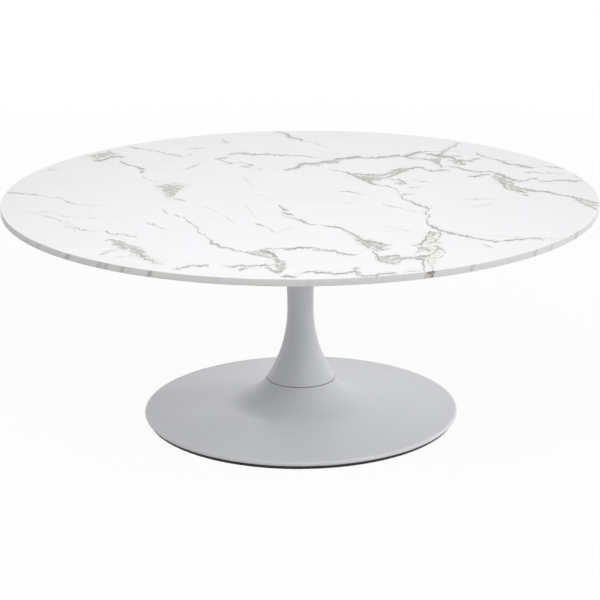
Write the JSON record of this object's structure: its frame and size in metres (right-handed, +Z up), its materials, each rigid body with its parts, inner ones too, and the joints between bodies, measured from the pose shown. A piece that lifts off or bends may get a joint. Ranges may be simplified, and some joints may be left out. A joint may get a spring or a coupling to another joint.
{
  "type": "round cocktail table",
  "caption": "Low round table with a thin veined stone slab on a waisted trumpet column that sweeps out into a wide shallow dish base on a rubber foot ring.",
  "frame": {"origin": "on the floor, under the middle of the column", "axes": "+Z up along the column's axis, +X to the right as seen in the picture, which looks along +Y"},
  "size_m": [1.0998, 1.1, 0.43],
  "materials": {
    "marble": "honed white marble with grey veins",
    "powder_coat": "pale silver grey satin powder coat",
    "foot_rubber": "black moulded rubber",
    "gasket_rubber": "black sheet rubber",
    "bare_steel": "mill steel, oiled",
    "zinc_steel": "bright zinc plate",
    "brass": "machined brass"
  },
  "bodies": {
    "root": {"marble_top": "marble", "slab_inserts": "brass", "plate_gasket": "gasket_rubber", "mounting_plate": "powder_coat", "plate_spigot": "bare_steel", "plate_screws": "zinc_steel", "plate_washers": "zinc_steel", "anchor_nut": "zinc_steel", "tie_rod": "zinc_steel", "column": "powder_coat", "base_dish": "powder_coat", "foot_ring": "foot_rubber", "spider_plate": "bare_steel", "spider_tube": "bare_steel", "spider_ribs": "bare_steel", "clamp_washer": "zinc_steel", "spring_washer": "zinc_steel", "clamp_nut": "zinc_steel"}
  },
  "joints": []
}
